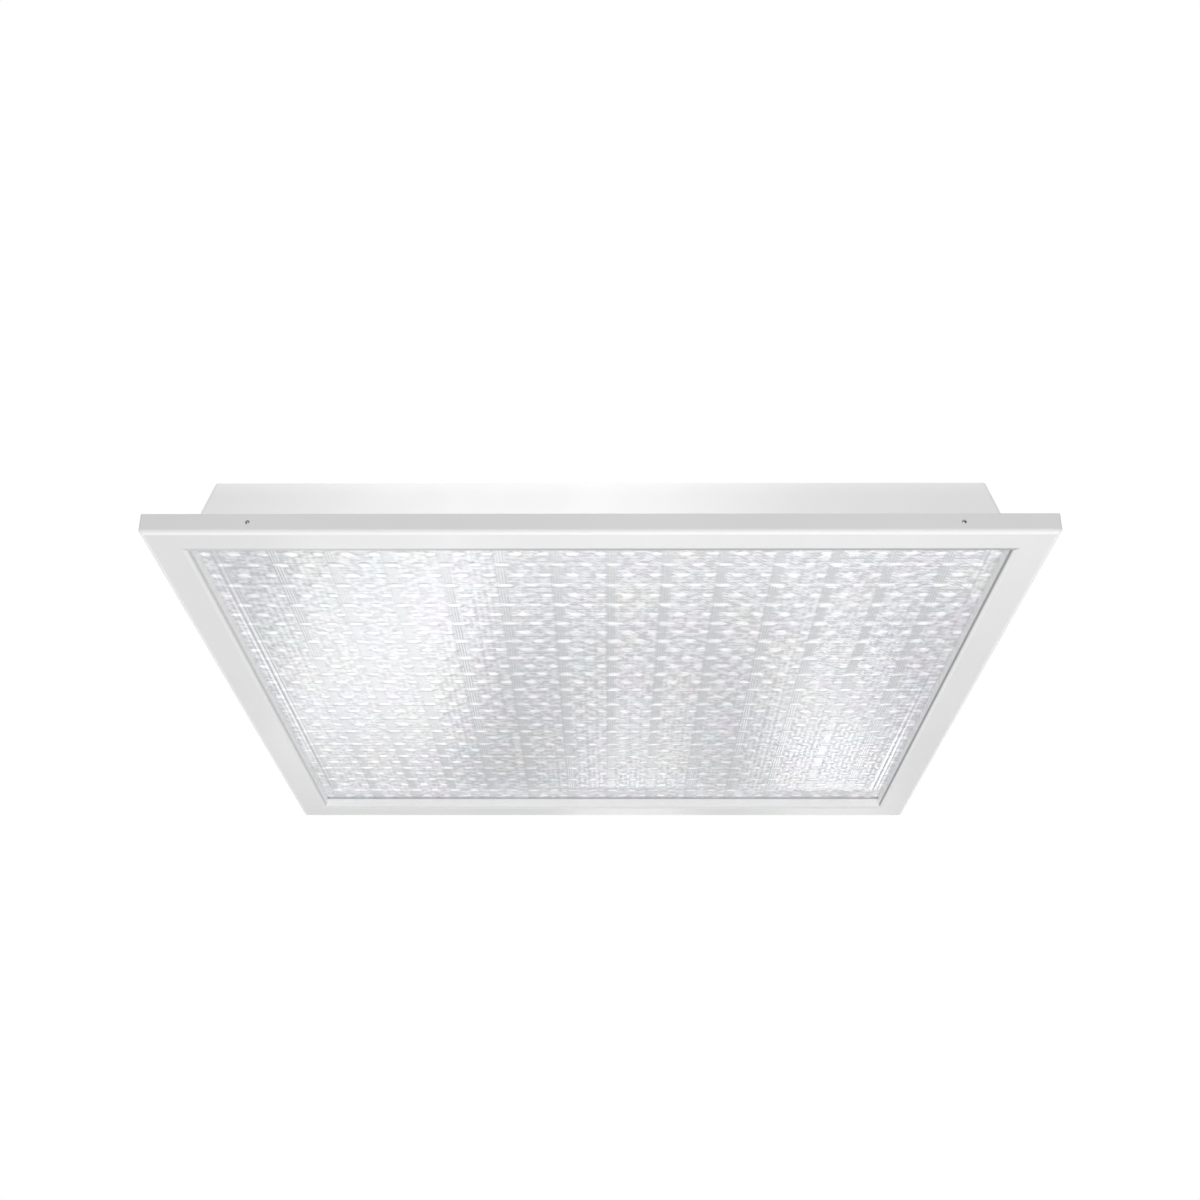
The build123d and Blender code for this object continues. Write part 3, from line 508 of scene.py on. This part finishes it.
# Painted shade: the tray's inside, within its walls and up to its top, is drawn grey.
lamp_room = (1.0 - z.step(*ROOM_TOP)) * (1.0 - from_middle(x, y).step(*ROOM_EDGE))
coat_and_room_shade = tray_paint.mix(lamp_room, tray_paint.so_far("Base Color"), ROOM_SHADE_COLOUR)
tray_paint.set(Base_Color=coat_and_room_shade)
tray_paint.on(nodes["tray"])
paint("reflector_paint", (0.70, 0.70, 0.70, 1.0), 0.6).on(nodes["reflector"])


# ---------------------------------------------------------------- Screws
# Pan-head screws of zinc-plated steel, headed cold with a cross recess, that hold the boards to the
# tray, the driver to the floor of its box and the cover to the box's ends.

HEAD_RADIUS = 2.8          # these in millimetres
HEAD_HEIGHT = 1.4
SHANK_RADIUS = 1.5
RECESS_REACH = 1.35
RECESS_HALF = 0.34
RECESS_DEPTH = 0.9
TURN_STEPS = 20

zinc = Finish("zinc_plate", Metallic=1.0)
cloud = zinc.noise(0.004)
dull, shiny = (0.55, 0.56, 0.58, 1.0), (0.70, 0.71, 0.73, 1.0)
zinc.set(Base_Color=zinc.mix(cloud.step(0.3, 0.7), dull, shiny))
zinc.set(Roughness=0.30 + zinc.noise(0.0015) * 0.12)
zinc.bump(zinc.noise(0.0006, 3.0), 0.01 * MM, 0.4)


def turned(profile, open_end=False):
    """A solid turned about +Z through points of radius and height, in millimetres."""
    form = bmesh.new()
    verts = [form.verts.new((radius * MM, 0.0, height * MM)) for radius, height in profile]
    edges = [form.edges.new(ends) for ends in zip(verts, verts[1:])]
    bmesh.ops.spin(
        form, geom=verts + edges, axis=(0.0, 0.0, 1.0), angle=math.tau, steps=TURN_STEPS,
        use_merge=True,
    )
    bmesh.ops.remove_doubles(form, verts=form.verts, dist=0.002 * MM)
    if not open_end:
        bmesh.ops.recalc_face_normals(form, faces=form.faces)
    return form


def screw(shank):
    """A screw whose head stands up from z = 0, with its shank below."""
    form = turned(
        (
            (0.0, -shank), (SHANK_RADIUS - 0.3, -shank), (SHANK_RADIUS, 0.3 - shank),
            (SHANK_RADIUS, 0.0), (HEAD_RADIUS, 0.0), (HEAD_RADIUS, 0.45), (2.55, 0.95),
            (2.1, 1.25), (1.7, HEAD_HEIGHT),
        ),
        open_end=True,
    )
    rim = [edge for edge in form.edges if edge.is_boundary]
    a, b = RECESS_REACH, RECESS_HALF
    outline = (
        (a, b), (b, b), (b, a), (-b, a), (-b, b), (-a, b),
        (-a, -b), (-b, -b), (-b, -a), (b, -a), (b, -b), (a, -b),
    )
    corners = [form.verts.new((x * MM, y * MM, HEAD_HEIGHT * MM)) for x, y in outline]
    cross = [form.edges.new(ends) for ends in zip(corners, corners[1:] + corners[:1])]
    bmesh.ops.triangle_fill(form, edges=rim + cross, use_beauty=True)
    walls = bmesh.ops.extrude_edge_only(form, edges=cross)["geom"]
    floor_verts = verts_of(walls)
    bmesh.ops.scale(form, verts=floor_verts, vec=(0.7, 0.7, 1.0))
    bmesh.ops.translate(form, verts=floor_verts, vec=(0.0, 0.0, -RECESS_DEPTH * MM))
    bmesh.ops.triangle_fill(form, edges=edges_of(walls))
    bmesh.ops.recalc_face_normals(form, faces=form.faces)
    return form


def spread(form, places):
    """Copies of a form at several places, in one mesh."""
    pattern = bpy.data.meshes.new("pattern")
    form.to_mesh(pattern)
    whole = bmesh.new()
    for place in places:
        known = set(whole.verts)
        whole.from_mesh(pattern)
        added = [vert for vert in whole.verts if vert not in known]
        bmesh.ops.transform(whole, matrix=place, verts=added)
    bpy.data.meshes.remove(pattern)
    return whole


def piece(name, form, body, slot, finish, *stands_for):
    """An object made from a form, which rides on a body and may stand for nodes."""
    mesh = bpy.data.meshes.new(name)
    form.to_mesh(mesh)
    mesh.shade_smooth()
    mesh.set_sharp_from_angle(angle=math.radians(32))
    obj = bpy.data.objects.new(name, mesh)
    bpy.context.collection.objects.link(obj)
    finish.on(obj)
    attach(obj, body)
    if stands_for:
        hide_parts(*stands_for)


def lie(x, y, z, direction=(0.0, 0.0, 1.0)):
    """The place of a form whose +Z is turned to a direction."""
    turn = Vector(direction).to_track_quat("Z", "Y").to_matrix().to_4x4()
    return Matrix.Translation((x, y, z)) @ turn


low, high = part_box("board_screws")
reach = high - Vector((HEAD_RADIUS, HEAD_RADIUS, 0.0)) * MM
board_face = low.z + HEAD_HEIGHT * MM
DOWN = (0.0, 0.0, -1.0)
BOARDS = range(1, 8)
board_xs = [reach.x * (number - 4) / 3 for number in BOARDS]
places = [lie(x, side * reach.y, board_face, DOWN) for x in board_xs for side in (-1, 1)]
board_screw = screw((high.z - board_face) / MM)
boards_screwed = spread(board_screw, places)
piece("cross_screws_boards", boards_screwed, "housing", "zinc_steel", zinc, "board_screws")

low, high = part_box("cover_screws")
cover_y = high.y - HEAD_RADIUS * MM
cover_z = (low.z + high.z) / 2
places = [
    lie(end - side * HEAD_HEIGHT * MM, across, cover_z, (side, 0.0, 0.0))
    for side, end in ((-1, low.x), (1, high.x))
    for across in (-cover_y, cover_y)
]
COVER_SHANK = 3.8
cover_screw = screw(COVER_SHANK)
cover_screwed = spread(cover_screw, places)
piece("cross_screws_cover", cover_screwed, "housing", "zinc_steel", zinc, "cover_screws")

low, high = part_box("driver_screws")
ends = (low.x + HEAD_RADIUS * MM, high.x - HEAD_RADIUS * MM)
head_foot = high.z - HEAD_HEIGHT * MM
places = [lie(x, 0.0, head_foot) for x in ends]
driver_screw = screw((head_foot - low.z) / MM)
driver_screwed = spread(driver_screw, places)
piece("cross_screws_driver", driver_screwed, "housing", "zinc_steel", zinc, "driver_screws")


# ---------------------------------------------------------------- Rivets
# Blind rivets of bright aluminium that hold the hanger brackets: a domed head with the broken end
# of the mandrel in its middle, and the folded sleeve inside the tray.

aluminium = Finish("bright_aluminium", Metallic=1.0)
dull, shiny = (0.72, 0.72, 0.73, 1.0), (0.84, 0.84, 0.85, 1.0)
aluminium.set(Base_Color=aluminium.mix(aluminium.noise(0.002), dull, shiny))
aluminium.set(Roughness=0.34 + aluminium.noise(0.001) * 0.1)

low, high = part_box("bracket_rivets")
RIVET_RADIUS = 3.2 * MM
RIVET_STEP = 15.0 * MM     # between the two of a bracket
RIVET_RISE = 1.2 * MM
rivet_x = high.x - RIVET_RADIUS
rivet_ys = (high.y - RIVET_RADIUS, high.y - RIVET_RADIUS - RIVET_STEP)
rivet_foot = high.z - RIVET_RISE
grip = (rivet_foot - low.z) / MM
rivet = turned(
    (
        (0.0, -grip), (1.2, -grip), (1.6, 0.5 - grip), (1.6, 0.0), (3.2, 0.0), (3.15, 0.35),
        (2.7, 0.8), (1.9, 1.12), (1.05, 1.2), (1.0, 0.55), (0.85, 0.55), (0.8, 0.95), (0.0, 1.0),
    )
)
places = [
    lie(side * rivet_x, turn * y, rivet_foot)
    for side in (-1, 1)
    for turn in (-1, 1)
    for y in rivet_ys
]
piece("blind_rivets", spread(rivet, places), "housing", "aluminium", aluminium, "bracket_rivets")


# ---------------------------------------------------------------- Diodes
# White light emitting diodes, 3 mm square: a moulded white package whose round well is filled with
# yellow phosphor gel, soldered at both ends to tinned pads on the board.

PACKAGE = 3.0 * MM
WELL = 1.15 * MM
WELL_SEGMENTS = 12
WELL_DEPTH = 0.25 * MM
PAD_DEPTH = 0.06 * MM
PAD_GAP = 0.3 * MM         # from the package's side to the pad's middle
DIODES = 16                # to a row

package = bmesh.new()
bmesh.ops.create_cube(package, size=PACKAGE)
low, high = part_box("led_row_1")
height = high.z - low.z
bmesh.ops.scale(package, verts=package.verts, vec=(1.0, 1.0, height / PACKAGE))
upright = [
    edge for edge in package.edges
    if abs(edge.verts[0].co.z - edge.verts[1].co.z) > height / 2
]
bmesh.ops.bevel(
    package, geom=upright, offset=0.25 * MM, segments=1, profile=0.5, affect="EDGES", material=-1
)
top = max(package.faces, key=lambda face: face.calc_center_median().z)
bmesh.ops.delete(package, geom=[top], context="FACES_ONLY")
rim = [edge for edge in package.edges if edge.is_boundary]
ring = bmesh.ops.create_circle(package, segments=WELL_SEGMENTS, radius=WELL)["verts"]
bmesh.ops.translate(package, verts=ring, vec=(0.0, 0.0, height / 2))
lip = list({edge for vert in ring for edge in vert.link_edges})
bmesh.ops.triangle_fill(package, edges=rim + lip)
well = bmesh.ops.extrude_edge_only(package, edges=lip)["geom"]
bmesh.ops.scale(package, verts=verts_of(well), vec=(0.85, 0.85, 1.0))
bmesh.ops.translate(package, verts=verts_of(well), vec=(0.0, 0.0, -WELL_DEPTH))
bmesh.ops.triangle_fill(package, edges=edges_of(well))
bmesh.ops.recalc_face_normals(package, faces=package.faces)

gel = bmesh.new()
bmesh.ops.create_circle(gel, cap_ends=True, segments=WELL_SEGMENTS, radius=WELL * 0.96)
bmesh.ops.translate(gel, verts=gel.verts, vec=(0.0, 0.0, height / 2 - 0.08 * MM))
underside = bmesh.ops.extrude_face_region(gel, geom=gel.faces[:])["geom"]
bmesh.ops.scale(gel, verts=verts_of(underside), vec=(0.9, 0.9, 1.0))
bmesh.ops.translate(gel, verts=verts_of(underside), vec=(0.0, 0.0, -0.1 * MM))
bmesh.ops.recalc_face_normals(gel, faces=gel.faces)

pad = bmesh.new()
bmesh.ops.create_cube(pad, size=1.0)
bmesh.ops.scale(pad, verts=pad.verts, vec=(2.6 * MM, 0.9 * MM, PAD_DEPTH))
top_edges = [edge for edge in pad.edges if min(vert.co.z for vert in edge.verts) > 0.0]
bmesh.ops.bevel(
    pad, geom=top_edges, offset=0.03 * MM, segments=1, profile=0.5, affect="EDGES", material=-1
)

diode_places = []
pad_places = []
for board in BOARDS:
    low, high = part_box(f"led_row_{board}")
    x = (low.x + high.x) / 2
    for number in range(DIODES):
        y = low.y + PACKAGE / 2 + (high.y - low.y - PACKAGE) * number / (DIODES - 1)
        diode_places.append(lie(x, y, (low.z + high.z) / 2, DOWN))
        for side in (-1, 1):
            pad_y = y + side * (PACKAGE / 2 + PAD_GAP)
            pad_places.append(lie(x, pad_y, high.z - PAD_DEPTH / 2, DOWN))

white_package = Finish("white_package", Roughness=0.4)
dull, bright_white = (0.74, 0.74, 0.72, 1.0), (0.80, 0.80, 0.79, 1.0)
white_package.set(Base_Color=white_package.mix(white_package.noise(0.002), dull, bright_white))
piece(
    "led_packages", spread(package, diode_places), "housing", "white_nylon", white_package,
    *(f"led_row_{number}" for number in BOARDS),
)
phosphor = Finish("led_phosphor", Roughness=0.25, IOR=1.45)
grain = phosphor.noise(0.0005, 3.0)
amber, yellow = (0.80, 0.60, 0.09, 1.0), (0.90, 0.76, 0.20, 1.0)
phosphor.set(Base_Color=phosphor.mix(grain.step(0.35, 0.65), amber, yellow))
piece("phosphor_gel", spread(gel, diode_places), "housing", "led_phosphor", phosphor)
tin = Finish("tinned_pad", Metallic=1.0)
dull, shiny = (0.66, 0.66, 0.66, 1.0), (0.80, 0.80, 0.81, 1.0)
tin.set(Base_Color=tin.mix(tin.noise(0.001), dull, shiny))
tin.set(Roughness=0.22 + tin.noise(0.0006) * 0.25)
piece("solder_pads", spread(pad, pad_places), "housing", "zinc_steel", tin)


# ---------------------------------------------------------------- Boards
# Seven strips of aluminium under the tray's top, coated with white solder mask over a copper track
# on each side of the diodes.

mask = Finish("white_solder_mask", Specular_IOR_Level=0.45)
x, y, z = mask.axes()
board_pitch = board_xs[1] - board_xs[0]
TRACK_PLACE = 6.0          # millimetres from the row of diodes
from_row = (x / board_pitch).away() * (board_pitch / MM)
outer_track = 1.0 - (from_row - TRACK_PLACE).math("ABSOLUTE").step(2.6, 2.9)
track = outer_track.math("MAXIMUM", 1.0 - from_row.step(1.3, 1.6))
tone = mask.mix(mask.noise(0.02).step(0.3, 0.7), (0.74, 0.75, 0.735, 1.0), (0.80, 0.80, 0.79, 1.0))
mask.set(Base_Color=mask.mix(track * 0.35, tone, (0.60, 0.57, 0.49, 1.0)))
mask.set(Roughness=0.30 + mask.noise(0.0008) * 0.12)
mask.bump(track, 0.05 * MM)
mask.on(*(nodes[f"led_board_{number}"] for number in BOARDS))


# ---------------------------------------------------------------- Sockets, catch blocks, terminals
# White nylon mouldings: the boards' sockets, the two blocks that hold the sprung catch pins, the
# mains terminals and the cable clamp, with the fine mist of a spark-eroded mould.

nylon = Finish("white_nylon", Specular_IOR_Level=0.45)
nylon.set(Base_Color=nylon.mix(nylon.noise(0.01), (0.80, 0.80, 0.77, 1.0), (0.86, 0.86, 0.83, 1.0)))
nylon.set(Roughness=0.42 + nylon.noise(0.003) * 0.14)
nylon.bump(nylon.noise(0.0003, 2.0), 0.02 * MM, 0.5)
for name in ("catch_housings", "board_connectors", "terminal_block", "cable_clamp"):
    nylon.on(nodes[name])


# ---------------------------------------------------------------- Terminal screws
# Slotted brass screws, one down each way of the mains terminals, which press on the conductors.
# The earth stud is of the same bright brass.

brass = Finish("bright_brass", Metallic=1.0)
dull, shiny = (0.66, 0.50, 0.22, 1.0), (0.80, 0.64, 0.33, 1.0)
brass.set(Base_Color=brass.mix(brass.noise(0.003).step(0.3, 0.7), dull, shiny))
brass.set(Roughness=0.24 + brass.noise(0.001) * 0.14)
brass.on(nodes["earth_stud"])

low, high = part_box("terminal_block")
middle = (low + high) / 2
slotted = turned(((0.0, -1.6), (2.0, -1.6), (2.3, -1.3), (2.3, -0.35), (1.95, 0.0), (0.0, 0.0)))
SLOT_HALF = 0.35 * MM
SLOT_DEPTH = 0.6 * MM
for side in (SLOT_HALF, -SLOT_HALF):
    bmesh.ops.bisect_plane(
        slotted, geom=everything(slotted), plane_co=(side, 0.0, 0.0), plane_no=(1.0, 0.0, 0.0)
    )
slot_faces = [
    face for face in slotted.faces
    if abs(face.calc_center_median().x) < 0.3 * MM and face.normal.z > 0.9
]
floor_of_slot = bmesh.ops.extrude_face_region(slotted, geom=slot_faces)["geom"]
bmesh.ops.delete(slotted, geom=slot_faces, context="FACES")
bmesh.ops.translate(slotted, verts=verts_of(floor_of_slot), vec=(0.0, 0.0, -SLOT_DEPTH))
bmesh.ops.recalc_face_normals(slotted, faces=slotted.faces)
way = (high.y - low.y) / 3
places = [lie(middle.x, middle.y + step * way, high.z - 2.6 * MM) for step in (-1, 0, 1)]
piece("terminal_screws", spread(slotted, places), "housing", "brass", brass)


# ---------------------------------------------------------------- Driver
# The constant-current driver: a white polycarbonate case with a lid snapped on along a seam, ribs
# across its ends and a fixing ear at each end.

case = Finish("driver_case", Specular_IOR_Level=0.45)
x, y, z = case.axes()
low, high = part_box("led_driver")
SEAM_SHARE = 0.62          # of the case's height
seam_level = low.z + SEAM_SHARE * (high.z - low.z)
seam = 1.0 - (z - seam_level).math("ABSOLUTE").step(0.25 * MM, 0.5 * MM)
tone = case.mix(case.noise(0.02), (0.82, 0.82, 0.80, 1.0), (0.87, 0.87, 0.86, 1.0))
case.set(Base_Color=case.mix(seam * 0.7, tone, (0.25, 0.25, 0.25, 1.0)))
case.set(Roughness=0.45 + case.noise(0.003) * 0.12)
case.bump(case.noise(0.0004, 2.0) - seam * 6.0, 0.03 * MM, 0.6)
case.on(nodes["led_driver"])

rib = bmesh.new()
bmesh.ops.create_cube(rib, size=1.0)
bmesh.ops.scale(rib, verts=rib.verts, vec=(1.2 * MM, (high.y - low.y) - 8.0 * MM, 0.7 * MM))
bmesh.ops.bevel(
    rib, geom=rib.edges[:], offset=0.3 * MM, segments=2, profile=0.5, affect="EDGES", material=-1
)
FIRST_RIB = 13.0           # millimetres from the case's end
RIB_STEP = 3.0
rib_places = [
    lie(end + side * (FIRST_RIB + RIB_STEP * number) * MM, 0.0, high.z)
    for end, side in ((low.x, 1), (high.x, -1))
    for number in range(6)
]
piece("driver_ribs", spread(rib, rib_places), "housing", "driver_case", case)


# ---------------------------------------------------------------- Driver box, cover and brackets
# Hot-dip galvanised sheet, folded, with the faint flowers of the zinc: the box and its cover, and
# the four brackets that take the hanging rods.

galvanised = Finish("galvanised_sheet", Metallic=1.0)
SPANGLES = 130.0           # to a metre
values = {"Vector": galvanised.place(), "Scale": SPANGLES}
spangle = galvanised.node("ShaderNodeTexVoronoi", {}, values, "Color")
tone = galvanised.node("ShaderNodeSeparateColor", {}, {0: spangle})
wide_tone = galvanised.noise(0.05, 3.0).step(0.3, 0.7)
flower = tone * 0.7 + wide_tone * 0.3
galvanised.set(Base_Color=galvanised.mix(flower, (0.46, 0.48, 0.50, 1.0), (0.62, 0.64, 0.66, 1.0)))
galvanised.set(Roughness=0.42 + tone * 0.14)
galvanised.bump(tone + galvanised.noise(0.0012, 3.0) * 0.6, 0.006 * MM, 0.5)
galvanised.on(nodes["driver_box"], nodes["driver_cover"], nodes["hanger_brackets"])


# ---------------------------------------------------------------- Knockouts
# Round blanks in the box's long sides, pressed nearly through so that they can be struck out for
# more cables: each shows as a raised ring with a plain disc inside it.

low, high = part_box("driver_box")
KNOCKOUT_RISE = 14.0 * MM  # above the box's foot
blank = turned(
    (
        (0.0, 0.25), (7.6, 0.25), (7.9, 0.0), (8.5, 0.0), (8.8, 0.35),
        (9.6, 0.35), (9.9, 0.0), (9.9, -0.2), (0.0, -0.2),
    )
)
places = [
    lie(low.x + share * (high.x - low.x), side * high.y, low.z + KNOCKOUT_RISE, (0.0, side, 0.0))
    for share in (0.2, 0.8)
    for side in (-1, 1)
]
piece("knockouts", spread(blank, places), "housing", "galvanised_steel", galvanised)


# ---------------------------------------------------------------- Hinge, clips and catches
# Zinc-plated knuckles, brackets and pins of the hinge, the pins of the catches with their springs,
# and the spring-steel clips that hold the lens. The springs keep their full length here when the
# pins go back.

for name in ("hinge_knuckles", "hinge_brackets", "hinge_pins", "catch_pin_left", "catch_pin_right"):
    zinc.on(nodes[name])
spring_steel = Finish("spring_steel", Metallic=1.0)
grain = spring_steel.noise(0.0006, 3.0, 0.6, 0, (1.0, 1.0, 0.1))
dull, shiny = (0.50, 0.51, 0.53, 1.0), (0.64, 0.65, 0.67, 1.0)
spring_steel.set(Base_Color=spring_steel.mix(grain.step(0.3, 0.7), dull, shiny))
spring_steel.set(Roughness=0.22 + grain * 0.14)
for name in ("lens_clips", "catch_spring_left", "catch_spring_right"):
    spring_steel.on(nodes[name])


# ---------------------------------------------------------------- Bushes
# Black rubber bushes, moulded and snapped into their holes, for the mains cable and for the leads
# that go through the tray.

rubber = Finish("black_rubber", Specular_IOR_Level=0.4)
black, worn = (0.022, 0.022, 0.022, 1.0), (0.045, 0.045, 0.045, 1.0)
rubber.set(Base_Color=rubber.mix(rubber.noise(0.003), black, worn))
rubber.set(Roughness=0.58 + rubber.noise(0.002) * 0.15)
rubber.bump(rubber.noise(0.0004, 2.0), 0.02 * MM, 0.5)
rubber.on(nodes["cable_bush"], nodes["lead_bush"])


# ---------------------------------------------------------------- Gasket
# A strip of dark closed-cell foam, stuck under the tray's flange to keep out dust, with the open
# pores of a cut face.

foam = Finish("closed_cell_foam", Specular_IOR_Level=0.25, Roughness=0.9)
PORES = 1600.0             # to a metre
values = {"Vector": foam.place(), "Scale": PORES}
pores = foam.node("ShaderNodeTexVoronoi", {}, values, "Distance")
dark, pale = (0.05, 0.05, 0.05, 1.0), (0.13, 0.13, 0.13, 1.0)
foam.set(Base_Color=foam.mix(pores.step(0.1, 0.5), dark, pale))
foam.bump(pores, 0.2 * MM)
foam.on(nodes["tray_gasket"])
